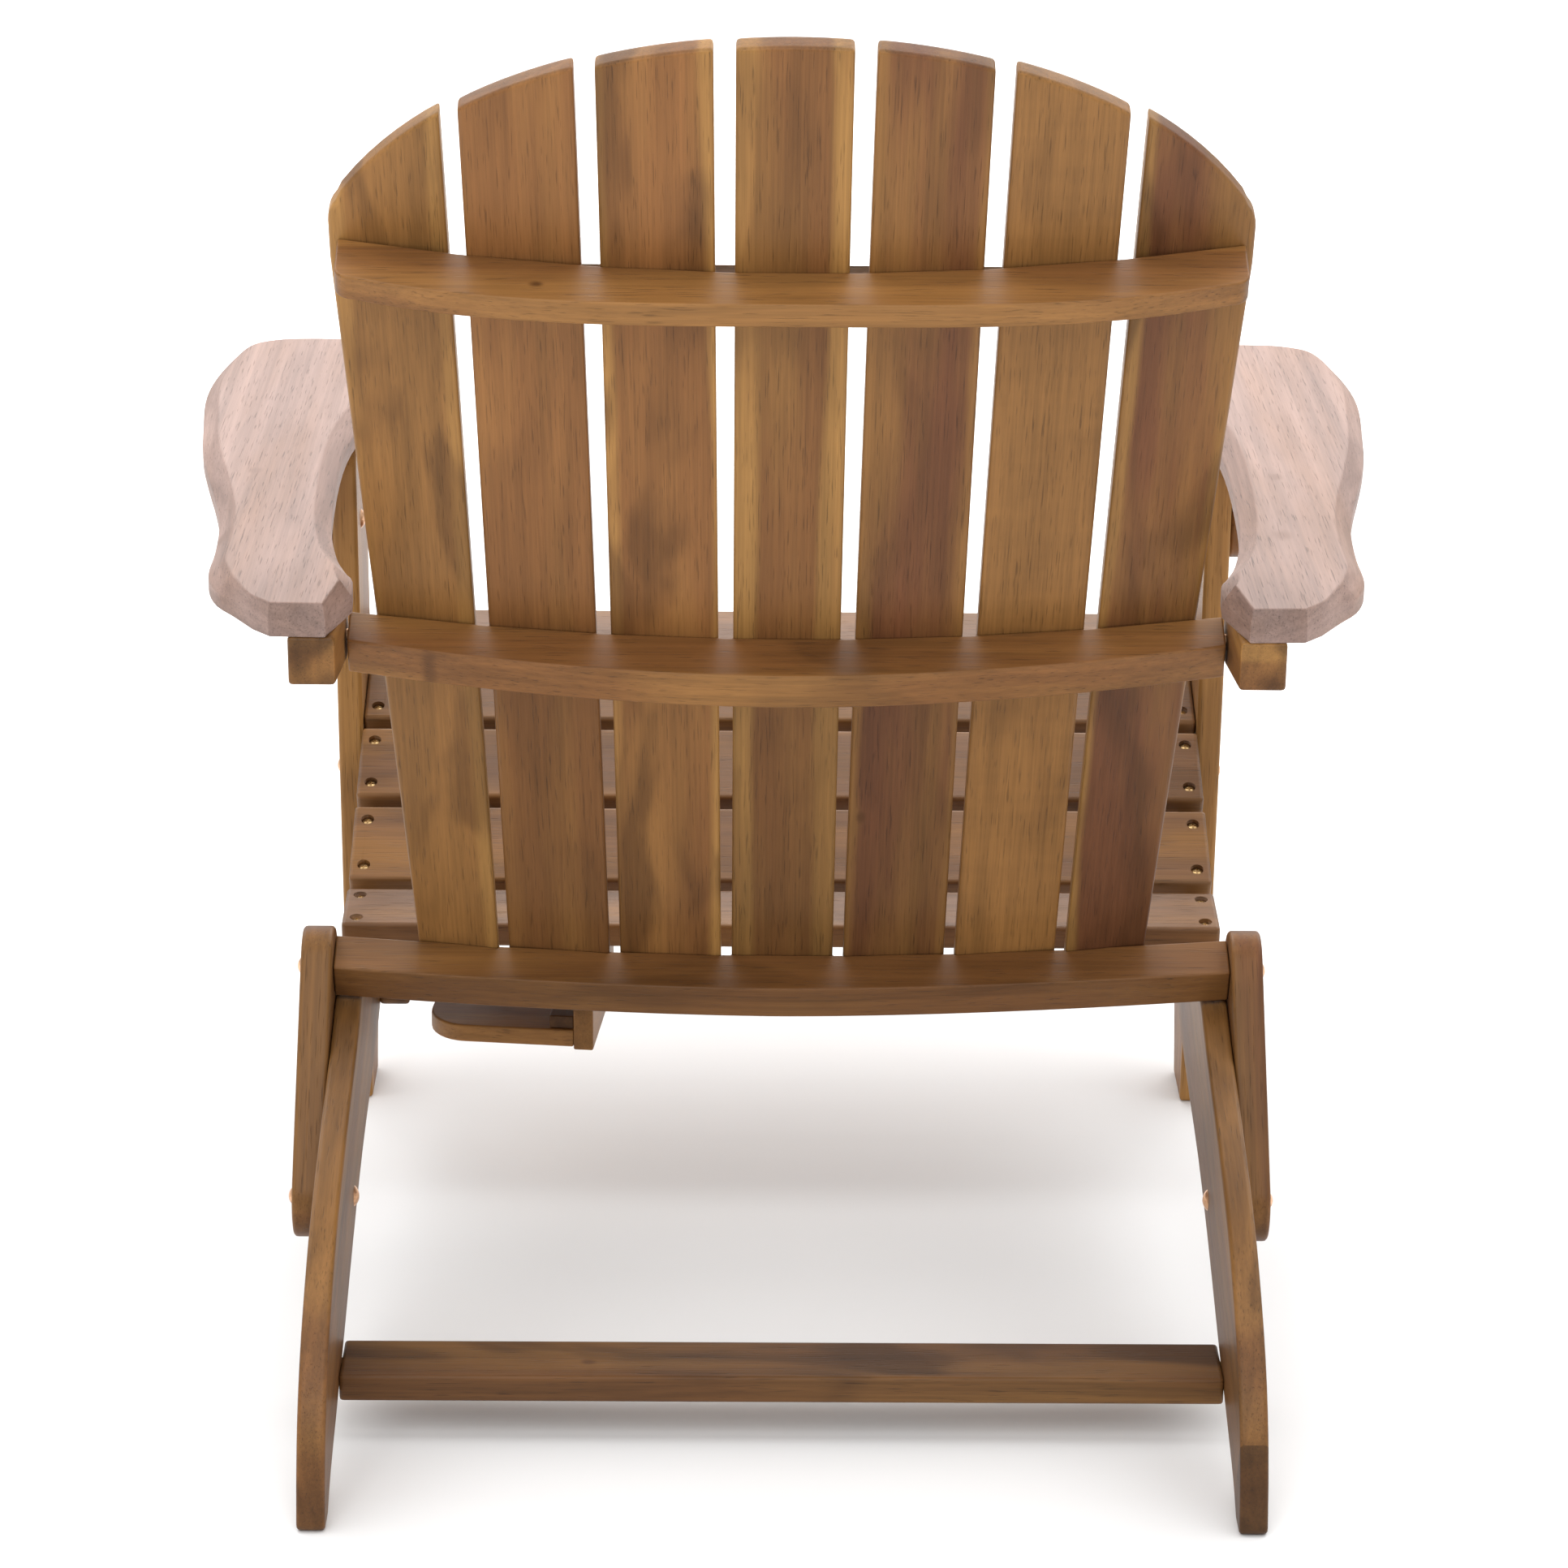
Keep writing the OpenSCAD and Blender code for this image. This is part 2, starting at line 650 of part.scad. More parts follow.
module cup_side_wall() {
    color("#9c6a37") at_tray() translate([cup_in, cup_rear - cup_depth, cup_low - 2])
        cube([cup_wall_t, cup_depth, cup_top - cup_board_t - cup_low + 2]);
}

module cup_top_board() {
    nose_r = 24;
    hub_r = 54;
    hub = [cup_out - hub_r, cup_mid[1]];
    color("#a8743f") at_tray() difference() {
        translate([0, 0, cup_top - cup_board_t]) linear_extrude(cup_board_t) polygon(concat(
            [[cup_in, cup_rear]], [[cup_in, cup_rear - cup_depth]],
            arc(cup_pivot, nose_r, 180, 360, 12),
            arc(hub, hub_r, -50, 90, 14)));
        translate([cup_mid[0], cup_mid[1], 0]) cylinder(d = cup_d, h = 400);
        translate([cup_pivot[0], cup_pivot[1], 0]) cylinder(r = hole_r, h = 400);
    }
}

module cup_corner_batten() {
    color("#7d532b") at_tray() translate([cup_in + cup_wall_t, cup_rear - cup_depth + 2, cup_low + cup_board_t])
        cube([16, cup_depth - 4, 9]);
}

module cup_pivot_bolt() {
    under = cup_top - cup_board_t - 0.3;
    color("#b8763f") translate([cup_pivot[0], cup_pivot[1], 0]) {
        translate([0, 0, under]) cylinder(r = bolt_r, h = cross_low + cross_t - under);
        translate([0, 0, under - 3]) cylinder(d = bolt_head_d, h = 3);
        translate([0, 0, cup_top + 0.3]) cylinder(d = 16, h = cross_low - cup_top - 0.3);
        translate([0, 0, cross_low + cross_t]) cylinder(d = 11, h = 5, $fn = 6);
    }
}

side_board_left();
side_board_right();
rear_stretcher();
front_cross_board();
seat_slat(0);  // seat_slat_1
seat_slat(1);  // seat_slat_2
seat_slat(2);  // seat_slat_3
seat_slat(3);  // seat_slat_4
seat_slat(4);  // seat_slat_5
seat_screws();
frame_screws();
stop_block();
leg_bolts();
rear_leg_bolts();
front_leg_left();
front_leg_right();
leg_barrel_nuts();
link_left();
link_right();
lower_back_rail();
middle_back_rail();
upper_back_rail();
back_slat(-3);  // back_slat_1
back_slat(-2);  // back_slat_2
back_slat(-1);  // back_slat_3
back_slat(0);  // back_slat_4
back_slat(1);  // back_slat_5
back_slat(2);  // back_slat_6
back_slat(3);  // back_slat_7
back_screws();
link_bolts();
arm_left();
arm_right();
arm_block_left();
arm_block_right();
arm_bracket_left();
arm_bracket_right();
arm_bolts();
bracket_bolts();
arm_screws();
cup_shelf();
cup_side_wall();
cup_top_board();
cup_corner_batten();
cup_pivot_bolt();
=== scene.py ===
"""Looks for the folding adirondack chair: rounded boards with procedural grain, and metal hardware."""
import json
import math

import bmesh
import bpy
from mathutils import Matrix, Vector


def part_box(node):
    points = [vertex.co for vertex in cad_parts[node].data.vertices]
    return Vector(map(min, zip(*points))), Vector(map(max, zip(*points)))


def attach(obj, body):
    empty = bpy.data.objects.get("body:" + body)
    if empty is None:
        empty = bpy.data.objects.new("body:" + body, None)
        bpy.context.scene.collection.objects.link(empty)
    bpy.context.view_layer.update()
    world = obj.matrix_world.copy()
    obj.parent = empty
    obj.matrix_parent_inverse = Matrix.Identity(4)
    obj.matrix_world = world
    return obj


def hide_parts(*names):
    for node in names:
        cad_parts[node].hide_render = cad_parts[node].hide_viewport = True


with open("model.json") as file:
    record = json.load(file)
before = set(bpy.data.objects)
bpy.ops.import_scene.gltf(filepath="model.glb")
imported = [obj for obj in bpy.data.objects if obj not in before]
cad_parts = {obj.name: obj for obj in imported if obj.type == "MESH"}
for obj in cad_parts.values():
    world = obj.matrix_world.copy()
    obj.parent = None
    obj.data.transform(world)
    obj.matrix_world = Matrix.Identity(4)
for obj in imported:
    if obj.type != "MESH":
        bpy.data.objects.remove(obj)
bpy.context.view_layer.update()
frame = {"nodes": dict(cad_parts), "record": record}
NODES = frame["nodes"]
SLOT_OF = {s["node"]: s["material_slot"] for s in frame["record"]["subparts"]}
BODY_OF = {n: b for b, ns in frame["record"]["behaviour"]["bodies"].items() for n in ns}

# ---------- camera ----------
# Place in metres, angles in radians, lens and sensor in millimetres
CAMERA_AT = Vector((0.0279, 2.5904, 1.3346))
CAMERA_YAW = -0.011
CAMERA_PITCH = 0.374
CAMERA_ROLL = 0.010
LENS = 102.26
SENSOR = 36


def add_camera():
    forward = Vector((math.sin(CAMERA_YAW) * math.cos(CAMERA_PITCH),
                      -math.cos(CAMERA_YAW) * math.cos(CAMERA_PITCH), -math.sin(CAMERA_PITCH)))
    level_right = forward.cross(Vector((0, 0, 1))).normalized()
    level_up = level_right.cross(forward)
    right = math.cos(CAMERA_ROLL) * level_right + math.sin(CAMERA_ROLL) * level_up
    up = -math.sin(CAMERA_ROLL) * level_right + math.cos(CAMERA_ROLL) * level_up
    data = bpy.data.cameras.new("camera")
    data.lens = LENS
    data.sensor_width = SENSOR
    camera = bpy.data.objects.new("camera", data)
    turn = Matrix((right, up, -forward)).transposed().to_4x4()
    camera.matrix_world = Matrix.Translation(CAMERA_AT) @ turn
    bpy.context.scene.collection.objects.link(camera)
    bpy.context.scene.camera = camera


# ---------- stage ----------
WORLD_STRENGTH = 0.74
FLOOR_HALF = 40
# Name, place, point it is aimed at, width and height, watts
LIGHTS = [
    ("key", (0.3, 2.2, 2.5), (0, 0.2, 0.8), (2.4, 1.6), 34),
    ("glare", (0, -3.4, 2.4), (0, 0, 0.6), (5.0, 2.4), 85),
    ("ceiling", (0, -4.0, 6.0), (0, -3.6, 0), (16.0, 12.0), 900),
]


def add_area(name, at, aim, size, watts):
    data = bpy.data.lights.new(name, "AREA")
    data.shape = "RECTANGLE"
    data.size, data.size_y = size
    data.energy = watts
    lamp = bpy.data.objects.new(name, data)
    lamp.location = at
    lamp.rotation_euler = (Vector(aim) - Vector(at)).to_track_quat("-Z", "Y").to_euler()
    bpy.context.scene.collection.objects.link(lamp)


def add_floor():
    mesh = bpy.data.meshes.new("floor")
    corners = [(-FLOOR_HALF, -FLOOR_HALF, 0), (FLOOR_HALF, -FLOOR_HALF, 0),
               (FLOOR_HALF, FLOOR_HALF, 0), (-FLOOR_HALF, FLOOR_HALF, 0)]
    mesh.from_pydata(corners, [], [(0, 1, 2, 3)])
    floor = bpy.data.objects.new("floor", mesh)
    bpy.context.scene.collection.objects.link(floor)
    paint = bpy.data.materials.new("floor_paint")
    paint.use_nodes = True
    shader = paint.node_tree.nodes["Principled BSDF"]
    shader.inputs["Base Color"].default_value = (0.86, 0.86, 0.86, 1)
    shader.inputs["Roughness"].default_value = 0.9
    shader.inputs["Specular IOR Level"].default_value = 0.1
    mesh.materials.append(paint)


def add_stage():
    world = bpy.data.worlds.new("studio")
    world.use_nodes = True
    background = world.node_tree.nodes["Background"]
    background.inputs["Color"].default_value = (1, 1, 1, 1)
    background.inputs["Strength"].default_value = WORLD_STRENGTH
    bpy.context.scene.world = world
    add_floor()
    for light in LIGHTS:
        add_area(*light)


# ---------- node helpers ----------
class Graph:
    """Short names for the nodes that a material is made of."""

    def __init__(self, name):
        self.material = bpy.data.materials.new(name)
        self.material.use_nodes = True
        self.tree = self.material.node_tree
        self.shader = self.tree.nodes["Principled BSDF"]

    def node(self, kind, inputs=(), **settings):
        made = self.tree.nodes.new(kind)
        for key, value in settings.items():
            setattr(made, key, value)
        for key, value in dict(inputs).items():
            self.put(made.inputs[key], value)
        return made

    def put(self, socket, value):
        if isinstance(value, bpy.types.NodeSocket):
            self.tree.links.new(value, socket)
        else:
            socket.default_value = value

    def math(self, operation, a, b=0.0):
        made = self.node("ShaderNodeMath", operation=operation)
        self.put(made.inputs[0], a)
        self.put(made.inputs[1], b)
        return made.outputs[0]

    def weighted(self, value, weight, base, operation="ADD"):
        """The base with a share of the value added to it or taken from it."""
        return self.math(operation, base, self.math("MULTIPLY", value, weight))

    def darkened(self, shade, mask, loss):
        """The shade times 1 less the loss where the mask is 1."""
        return self.math("MULTIPLY", shade, self.weighted(mask, loss, 1.0, "SUBTRACT"))

    def combine(self, x, y, z):
        made = self.node("ShaderNodeCombineXYZ")
        for socket, value in zip(made.inputs, (x, y, z)):
            self.put(socket, value)
        return made.outputs[0]

    def stretched(self, vector, scale):
        made = self.node("ShaderNodeVectorMath", operation="MULTIPLY")
        self.put(made.inputs[0], vector)
        made.inputs[1].default_value = scale
        return made.outputs[0]

    def noise(self, vector, scale=1.0, detail=3.0, rough=0.5, warp=0.0):
        made = self.node("ShaderNodeTexNoise", {"Vector": vector, "Scale": scale, "Detail": detail,
                                                "Roughness": rough, "Distortion": warp})
        return made.outputs["Fac"]

    def ramp(self, value, low, high):
        made = self.node("ShaderNodeMapRange", interpolation_type="SMOOTHSTEP")
        self.put(made.inputs["Value"], value)
        self.put(made.inputs["From Min"], low)
        self.put(made.inputs["From Max"], high)
        return made.outputs["Result"]

    def mix(self, factor, a, b):
        made = self.node("ShaderNodeMix", data_type="RGBA", blend_type="MIX")
        self.put(made.inputs["Factor"], factor)
        self.put(made.inputs["A"], a if isinstance(a, bpy.types.NodeSocket) else (*a, 1))
        self.put(made.inputs["B"], b if isinstance(b, bpy.types.NodeSocket) else (*b, 1))
        return made.outputs["Result"]

    def scaled(self, colour, factor):
        made = self.node("ShaderNodeVectorMath", operation="SCALE")
        self.put(made.inputs[0], colour)
        self.put(made.inputs["Scale"], factor)
        return made.outputs[0]


# ---------- wood ----------
GOLD = (0.42, 0.215, 0.062)
HONEY = (0.315, 0.148, 0.043)
BROWN = (0.235, 0.10, 0.031)
RED_BROWN = (0.20, 0.075, 0.030)
DARK = (0.085, 0.034, 0.010)
# Arm colours: pale wood with a painted sheen, the white surroundings' reflection mixed into the colour
PALE_WITH_SHEEN = (0.345, 0.235, 0.20)
PALE_SAP_WITH_SHEEN = (0.40, 0.275, 0.235)
PALE_WARM_WITH_SHEEN = (0.34, 0.215, 0.165)
PALE_KNOT_WITH_SHEEN = (0.24, 0.155, 0.125)
SEAT_HEART = (0.23, 0.112, 0.05)
SEAT_SAP = (0.29, 0.145, 0.062)

# Noise scales along, across and through a board, per metre
WANDER = (2.6, 5.0, 5.0)
RIPPLE = (11.0, 22.0, 22.0)
KNOT_EDGE = (90, 150, 150)
WARMTH = (3.2, 26.0, 26.0)
CLOUD = (7.0, 21.0, 21.0)
FIBRE = (9.0, 620.0, 620.0)
STREAK = (1.6, 95.0, 95.0)
PORES = (48.0, 1150.0, 1150.0)
CURL = (75.0, 16.0, 16.0)

# How far the grain wanders sideways, in metres
WANDER_WIDTH = 0.05
RIPPLE_WIDTH = 0.008
# Growth rings per metre, and the log's middle below the board's own middle
RINGS = 165.0
PITH_DEPTH = -0.09
# Step along the noise from one board's seed to the next, and past a separate dark end
SEED_STEP = 7.31
DARK_END_STEP = 5.3
# How much each part of the grain lightens or darkens the wood
BASE_SHADE = 0.64
FIBRE_SHADE = 0.20
STREAK_SHADE = 0.20
BROAD_SHADE = 0.24
RING_SHADE = 0.07
PORE_SHADE = 0.30
END_GRAIN_LOSS = 0.22
DARK_END_LOSS = 0.42
KNOT_COVER = 0.85
# Where the painted shade at the foot of a board starts and ends, along the board
FOOT_SHADE_FROM = 0.1
FOOT_SHADE_TO = -0.28
GRAIN_RELIEF = 0.0002


def board_space(g, centre, turn):
    """Distance along the grain, across the board and through it, from the board's own centre."""
    coords = g.node("ShaderNodeTexCoord").outputs["Object"]
    local = g.node("ShaderNodeMapping", {"Vector": coords, "Location": centre, "Rotation": turn},
                   vector_type="TEXTURE").outputs[0]
    return g.node("ShaderNodeSeparateXYZ", {"Vector": local}).outputs


def end_grain(g, turn):
    """1 on the sawn ends of the board and 0 on its long faces."""
    coords = g.node("ShaderNodeTexCoord").outputs["Normal"]
    normal = g.node("ShaderNodeMapping", {"Vector": coords, "Rotation": turn},
                    vector_type="TEXTURE").outputs[0]
    split = g.node("ShaderNodeSeparateXYZ", {"Vector": normal})
    return g.ramp(g.math("ABSOLUTE", split.outputs[0]), 0.6, 0.9)


def grain_path(g, moved, along, across, knots):
    """How far the grain is pushed sideways, by its own wander and by knots, and how dark each knot is."""
    wander = g.noise(g.stretched(moved, WANDER), 1.0, 2.0)
    ripple = g.noise(g.stretched(moved, RIPPLE), 1.0, 2.0)
    wide = g.math("MULTIPLY", g.math("SUBTRACT", wander, 0.5), WANDER_WIDTH)
    side = g.weighted(g.math("SUBTRACT", ripple, 0.5), RIPPLE_WIDTH, wide)
    knot_dark = None
    for at_x, at_y, size in knots:
        dx = g.math("DIVIDE", g.math("SUBTRACT", along, at_x), size * 1.5)
        dy = g.math("DIVIDE", g.math("SUBTRACT", across, at_y), size)
        gap = g.math("SQRT", g.math("ADD", g.math("MULTIPLY", dx, dx), g.math("MULTIPLY", dy, dy)))
        near = g.ramp(g.weighted(g.noise(g.stretched(moved, KNOT_EDGE)), 0.5, gap), 1.5, 0.5)
        side = g.weighted(g.ramp(gap, 5.0, 0.3), size * 0.6, side)
        knot_dark = near if knot_dark is None else g.math("MAXIMUM", knot_dark, near)
    return side, knot_dark


def growth_rings(g, across, deep, side, along, shift):
    """Fine ring lines, and the broad light and dark bands of slow and fast years."""
    ring_y = g.math("ADD", across, side)
    ring_z = g.math("SUBTRACT", g.weighted(side, 0.6, deep), PITH_DEPTH)
    squares = g.math("ADD", g.math("MULTIPLY", ring_y, ring_y), g.math("MULTIPLY", ring_z, ring_z))
    radius = g.math("SQRT", squares)
    wave = g.math("SINE", g.math("MULTIPLY", radius, RINGS * math.tau))
    lines = g.math("ADD", g.math("MULTIPLY", wave, 0.5), 0.5)
    years = g.combine(g.math("MULTIPLY", radius, 70.0), shift, g.math("MULTIPLY", along, 0.7))
    return lines, g.noise(years, 1.0, 3.0)


def wood(name, centre, turn, heart=BROWN, sap=GOLD, sap_edge=0.031, blotch=0.35, figure=0.0, seed=0.0,
         knots=(), dark_end=None, rough=0.44, bump=0.6, level=1.0, painted_foot_shade=1.0, warm_tone=HONEY, knot_tone=DARK):
    """Solid wood cut from a log along the board's own X."""
    g = Graph(name)
    along, across, deep = board_space(g, centre, turn)
    shift = seed * SEED_STEP
    if dark_end is not None:
        end = g.math("GREATER_THAN", along, dark_end)
        shift = g.weighted(end, DARK_END_STEP, shift)
    moved = g.combine(g.math("ADD", along, shift), across, deep)
    side, knot_dark = grain_path(g, moved, along, across, knots)
    lines, broad = growth_rings(g, across, deep, side, along, shift)

    # Sapwood lies outside the heartwood, in the board's outer edge
    edge = g.math("SUBTRACT", g.math("ABSOLUTE", g.weighted(side, 0.55, across)), sap_edge)
    colour = g.mix(g.ramp(edge, -0.003, 0.003), heart, sap)
    warm = g.noise(g.stretched(moved, WARMTH), 1.0, 3.0)
    colour = g.mix(g.ramp(warm, 0.38, 0.72), colour, warm_tone)
    cloud = g.noise(g.stretched(moved, CLOUD), 1.0, 2.5, warp=0.6)
    colour = g.mix(g.math("MULTIPLY", g.ramp(cloud, 0.47, 0.64), blotch), colour, knot_tone)

    fibre = g.noise(g.stretched(moved, FIBRE), 1.0, 4.0, 0.65)
    streak = g.noise(g.stretched(moved, STREAK), 1.0, 3.0)
    pores = g.ramp(g.noise(g.stretched(moved, PORES), 1.0, 1.5), 0.60, 0.72)
    shade = g.weighted(g.ramp(fibre, 0.3, 0.7), FIBRE_SHADE, BASE_SHADE)
    shade = g.weighted(g.ramp(streak, 0.25, 0.75), STREAK_SHADE, shade)
    shade = g.weighted(g.ramp(broad, 0.3, 0.7), BROAD_SHADE, shade)
    shade = g.weighted(lines, RING_SHADE, shade, "SUBTRACT")
    shade = g.weighted(pores, PORE_SHADE, shade, "SUBTRACT")
    if figure:
        curl = g.noise(g.stretched(moved, CURL), 1.0, 2.0)
        shade = g.weighted(g.math("SUBTRACT", curl, 0.5), figure, shade)
    shade = g.darkened(shade, end_grain(g, turn), END_GRAIN_LOSS)
    if dark_end is not None:
        shade = g.darkened(shade, end, DARK_END_LOSS)
    # Scale the whole board: its own tone, with painted shade on the lower boards where the light falls off
    shade = g.math("MULTIPLY", shade, level)
    # Painted shade: darken the lower end of the board, for the light falling off towards the floor
    if painted_foot_shade != 1.0:
        shade = g.darkened(shade, g.ramp(along, FOOT_SHADE_FROM, FOOT_SHADE_TO), 1.0 - painted_foot_shade)
    colour = g.scaled(colour, shade)
    if knots:
        colour = g.mix(g.math("MULTIPLY", knot_dark, KNOT_COVER), colour, knot_tone)

    g.put(g.shader.inputs["Base Color"], colour)
    g.shader.inputs["Specular IOR Level"].default_value = 0.24
    g.put(g.shader.inputs["Roughness"], g.weighted(fibre, 0.12, rough - 0.06))
    height = g.weighted(pores, 0.8, g.math("MULTIPLY", fibre, 0.6), "SUBTRACT")
    relief = g.node("ShaderNodeBump", {"Height": height, "Strength": bump, "Distance": GRAIN_RELIEF})
    g.put(g.shader.inputs["Normal"], relief.outputs[0])
    return g.material


def metal(name, colour, rough, tarnish):
    g = Graph(name)
    coords = g.node("ShaderNodeTexCoord").outputs["Object"]
    patch = g.noise(coords, 420.0, 3.0)
    fine = g.noise(coords, 2600.0, 2.0)
    g.put(g.shader.inputs["Base Color"], g.mix(g.ramp(patch, 0.35, 0.75), colour, tarnish))
    g.shader.inputs["Metallic"].default_value = 1.0
    g.put(g.shader.inputs["Roughness"], g.weighted(fine, 0.18, rough))
    relief = g.node("ShaderNodeBump", {"Height": patch, "Strength": 0.25, "Distance": 0.0001})
    g.put(g.shader.inputs["Normal"], relief.outputs[0])
    return g.material


# ---------- boards ----------
ROUNDING = 0.0028
RAIL_ROUNDING = 0.0014
CUP_ROUNDING = 0.0015
BATTEN_ROUNDING = 0.001
ARM_ROUNDING = 0.0012
SMALLEST_RUN = 0.03
WELD = 1e-6
FLAT_ANGLE = math.radians(0.3)
ROUNDED_ANGLE = math.radians(38)
CREASE_ANGLE = math.radians(40)


def long_sharp_edges(bm):
    """Sharp edges, joined into runs, without the small runs that go round screw and bolt holes."""
    sharp = {e for e in bm.edges if len(e.link_faces) == 2 and e.calc_face_angle(0) > ROUNDED_ANGLE}
    kept = []
    while sharp:
        run = [sharp.pop()]
        for edge in run:
            for vert in edge.verts:
                for other in vert.link_edges:
                    if other in sharp:
                        sharp.remove(other)
                        run.append(other)
        spots = [v.co for e in run for v in e.verts]
        size = max(max(p[k] for p in spots) - min(p[k] for p in spots) for k in range(3))
        if size > SMALLEST_RUN:
            kept += run
    return kept


def rounded_copy(node, radius=ROUNDING):
    """A copy of a CAD board with its long sharp edges rounded over."""
    mesh = NODES[node].data.copy()
    mesh.name = node + "_board"
    mesh.materials.clear()
    bm = bmesh.new()
    bm.from_mesh(mesh)
    bmesh.ops.remove_doubles(bm, verts=bm.verts, dist=WELD)
    bmesh.ops.dissolve_limit(bm, angle_limit=FLAT_ANGLE, verts=bm.verts, edges=bm.edges)
    bmesh.ops.bevel(bm, geom=long_sharp_edges(bm), offset=radius, offset_type="OFFSET", segments=3,
                    profile=0.6, affect="EDGES", clamp_overlap=False)
    bmesh.ops.recalc_face_normals(bm, faces=bm.faces)
    for face in bm.faces:
        face.smooth = True
    bm.to_mesh(mesh)
    bm.free()
    mesh.set_sharp_from_angle(angle=CREASE_ANGLE)
    board = bpy.data.objects.new(node + "_board", mesh)
    bpy.context.scene.collection.objects.link(board)
    smooth = board.modifiers.new("weighted", "WEIGHTED_NORMAL")
    smooth.keep_sharp = True
    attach(board, BODY_OF[node])
    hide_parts(node)
    return board


def frame_of(grain, face):
    """Euler turn of a board whose grain runs along one vector and whose wide face looks along another."""
    x = Vector(grain).normalized()
    z = Vector(face)
    z = (z - x * z.dot(x)).normalized()
    return Matrix((x, z.cross(x), z)).transposed().to_euler()


def centre_of(node):
    low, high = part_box(node)
    return (low + high) / 2


def add_board(node, grain, face, radius=ROUNDING, **look):
    board = rounded_copy(node, radius)
    board.data.materials.append(wood(node + "_wood", centre_of(node), frame_of(grain, face), **look))


RECLINE = math.radians(19.9)
BACK_UP = Vector((0, math.sin(RECLINE), math.cos(RECLINE)))
BACK_OUT = Vector((0, math.cos(RECLINE), -math.sin(RECLINE)))
SIDEWAYS = Vector((1, 0, 0))
UP = Vector((0, 0, 1))
REARWARD = Vector((0, 1, 0))
BOARD_SLOPE = Vector((0, 1, -0.30))
LINK_WIDTH = 0.05
# Lean of each back slat's grain from its neighbour's, as a slope
SLAT_FAN = 5.4 / 650
MIDDLE_SLAT = 3
# Tilt of each seat slat from the front of the seat to the rear, in degrees
SEAT_TILT = [6.2, 18.7, 22, 24, 5]
# Where the darker piece starts along the sitter's right side board
DARK_END_AT = 0.355

# Look of each back slat, from the sitter's right to their left; the foot setting paints shade on the slat's
# lower end, and the overall scale holds the slat's tone with some painted shade
SLAT_LOOKS = [
    dict(heart=RED_BROWN, sap=GOLD, sap_edge=0.026, blotch=0.5, seed=1.3, level=0.74, painted_foot_shade=0.8),
    dict(heart=HONEY, sap=GOLD, sap_edge=0.05, blotch=0.22, figure=0.22, seed=2.1, level=0.92),
    dict(heart=RED_BROWN, sap=HONEY, sap_edge=0.026, blotch=0.3, seed=3.4, level=0.86, painted_foot_shade=0.75,
         knots=[(-0.2, 0.024, 0.0035)]),
    dict(heart=BROWN, sap=GOLD, sap_edge=0.018, blotch=0.25, seed=4.2, level=0.95, painted_foot_shade=0.68),
    dict(heart=BROWN, sap=GOLD, sap_edge=0.027, blotch=0.62, seed=5.6, level=1.1, painted_foot_shade=0.72),
    dict(heart=BROWN, sap=HONEY, sap_edge=0.05, blotch=0.15, seed=6.9, level=1.02, painted_foot_shade=0.68),
    dict(heart=HONEY, sap=GOLD, sap_edge=0.022, blotch=0.5, seed=7.7, level=0.9, painted_foot_shade=0.8),
]
# The lower rail is darker partly from painted shade, for the light falling off downwards
RAIL_LOOKS = {
    "lower_back_rail": dict(blotch=0.3, seed=11.2, level=0.68),
    "middle_back_rail": dict(blotch=0.35, seed=12.5, level=0.88, knots=[(0.21, 0.01, 0.004)]),
    "upper_back_rail": dict(blotch=0.15, seed=13.1, level=0.92, knots=[(0.14, 0.012, 0.003)]),
}
# The arms' pale colours carry a painted sheen of the white surroundings
ARM_LOOK = dict(heart=PALE_WITH_SHEEN, sap=PALE_SAP_WITH_SHEEN, sap_edge=0.05, blotch=0.14, rough=0.55, bump=0.9, level=0.98,
                warm_tone=PALE_WARM_WITH_SHEEN, knot_tone=PALE_KNOT_WITH_SHEEN, knots=[(0.03, -0.012, 0.005), (0.145, -0.02, 0.007)])


def add_back():
    for i, look in enumerate(SLAT_LOOKS):
        lean = (i - MIDDLE_SLAT) * SLAT_FAN
        add_board(f"back_slat_{i + 1}", BACK_UP + SIDEWAYS * lean, BACK_OUT, **look)
    for node, look in RAIL_LOOKS.items():
        add_board(node, SIDEWAYS, BACK_UP, radius=RAIL_ROUNDING, heart=BROWN, sap=HONEY, sap_edge=0.024,
                  **look)


def add_seat():
    for i, degrees in enumerate(SEAT_TILT):
        tilt = math.radians(degrees)
        face = Vector((0, math.sin(tilt), math.cos(tilt)))
        # The seat slats' overall scale holds their tone with some painted shade
        add_board(f"seat_slat_{i + 1}", SIDEWAYS, face, heart=SEAT_HEART, sap=SEAT_SAP, sap_edge=0.028,
                  blotch=0.35, seed=20.4 + i * 1.7, level=0.78)


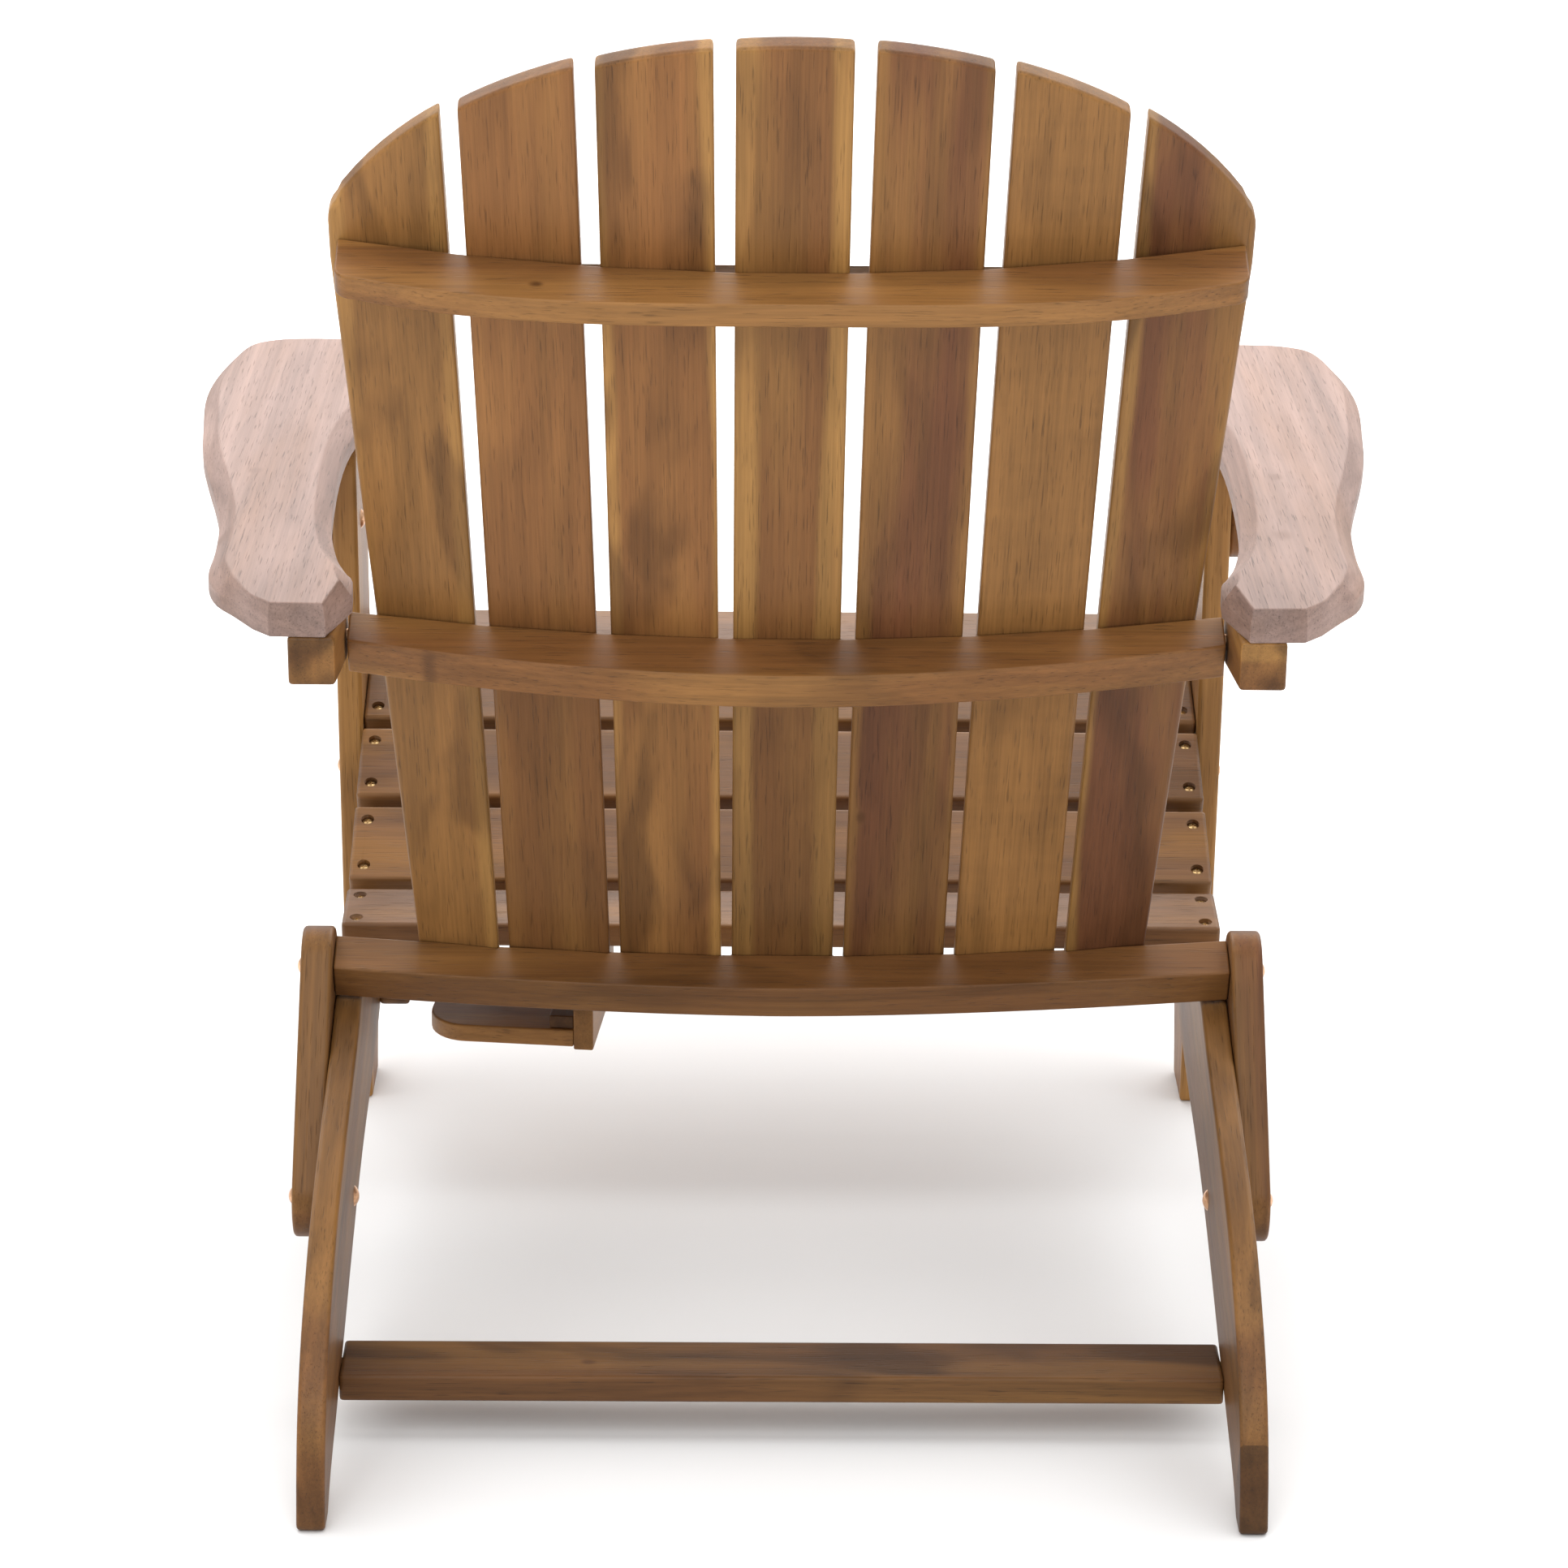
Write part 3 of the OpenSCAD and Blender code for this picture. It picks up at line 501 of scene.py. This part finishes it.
def add_side(side, seed, link_heart, link_sap, dark_end):
    """The side board, front leg, link, arm and arm fittings of one side."""
    # The side board and link are scaled darker: their own tone with some painted shade for their low place
    add_board("side_board_" + side, BOARD_SLOPE, SIDEWAYS, heart=BROWN, sap=HONEY, sap_edge=0.04, blotch=0.4,
              level=0.74, seed=seed, dark_end=dark_end)
    add_board("front_leg_" + side, UP, SIDEWAYS, heart=BROWN, sap=GOLD, sap_edge=0.031, blotch=0.35,
              seed=seed + 3)
    low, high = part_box("link_" + side)
    slope = (0, high.y - low.y - LINK_WIDTH, low.z - high.z + LINK_WIDTH)
    add_board("link_" + side, slope, SIDEWAYS, heart=link_heart, sap=link_sap, sap_edge=0.02, blotch=0.3,
              seed=seed + 6, level=0.8)
    add_board("arm_block_" + side, REARWARD, SIDEWAYS, heart=BROWN, sap=GOLD, sap_edge=0.013, blotch=0.8,
              seed=seed + 9)
    add_board("arm_bracket_" + side, UP, SIDEWAYS, heart=BROWN, sap=HONEY, blotch=0.3, seed=seed + 12)
    add_board("arm_" + side, REARWARD, UP, radius=ARM_ROUNDING, seed=seed + 15, **ARM_LOOK)


def add_frame_boards():
    add_side("left", 31.2, BROWN, HONEY, None)
    add_side("right", 32.9, RED_BROWN, RED_BROWN, DARK_END_AT)
    # The stretcher's overall scale is partly its darker wood, partly painted shade for the light falling off
    # near the floor
    add_board("rear_stretcher", SIDEWAYS, UP, heart=BROWN, sap=BROWN, blotch=0.7, seed=41.7, level=0.55,
              knots=[(0.115, 0.004, 0.0035)])
    add_board("front_cross_board", SIDEWAYS, UP, heart=BROWN, sap=HONEY, blotch=0.4, seed=43.2)
    # The stop block's very dark colour paints the shade it sits in
    add_board("stop_block", UP, SIDEWAYS, heart=DARK, sap=DARK, blotch=0.2, seed=44.8)


def add_cup_holder():
    add_board("cup_shelf", SIDEWAYS, UP, radius=CUP_ROUNDING, heart=BROWN, sap=HONEY, blotch=0.5, seed=51.3)
    add_board("cup_side_wall", REARWARD, SIDEWAYS, radius=CUP_ROUNDING, heart=HONEY, sap=GOLD, blotch=0.3,
              seed=52.6)
    add_board("cup_top_board", REARWARD, UP, radius=CUP_ROUNDING, heart=BROWN, sap=HONEY, blotch=0.3,
              seed=53.9)
    add_board("cup_corner_batten", REARWARD, UP, radius=BATTEN_ROUNDING, heart=DARK, sap=BROWN, blotch=0.3,
              seed=54.4)


def add_hardware():
    brass = metal("brass_screw_metal", (0.62, 0.43, 0.20), 0.30, (0.34, 0.22, 0.11))
    copper = metal("copper_bolt_metal", (0.78, 0.47, 0.28), 0.22, (0.50, 0.27, 0.15))
    for node, slot in SLOT_OF.items():
        if slot in ("brass_screw", "copper_bolt"):
            item = NODES[node]
            item.data.materials.clear()
            item.data.materials.append(brass if slot == "brass_screw" else copper)


add_camera()
add_stage()
add_back()
add_seat()
add_frame_boards()
add_cup_holder()
add_hardware()
bpy.context.scene.view_settings.view_transform = "Standard"
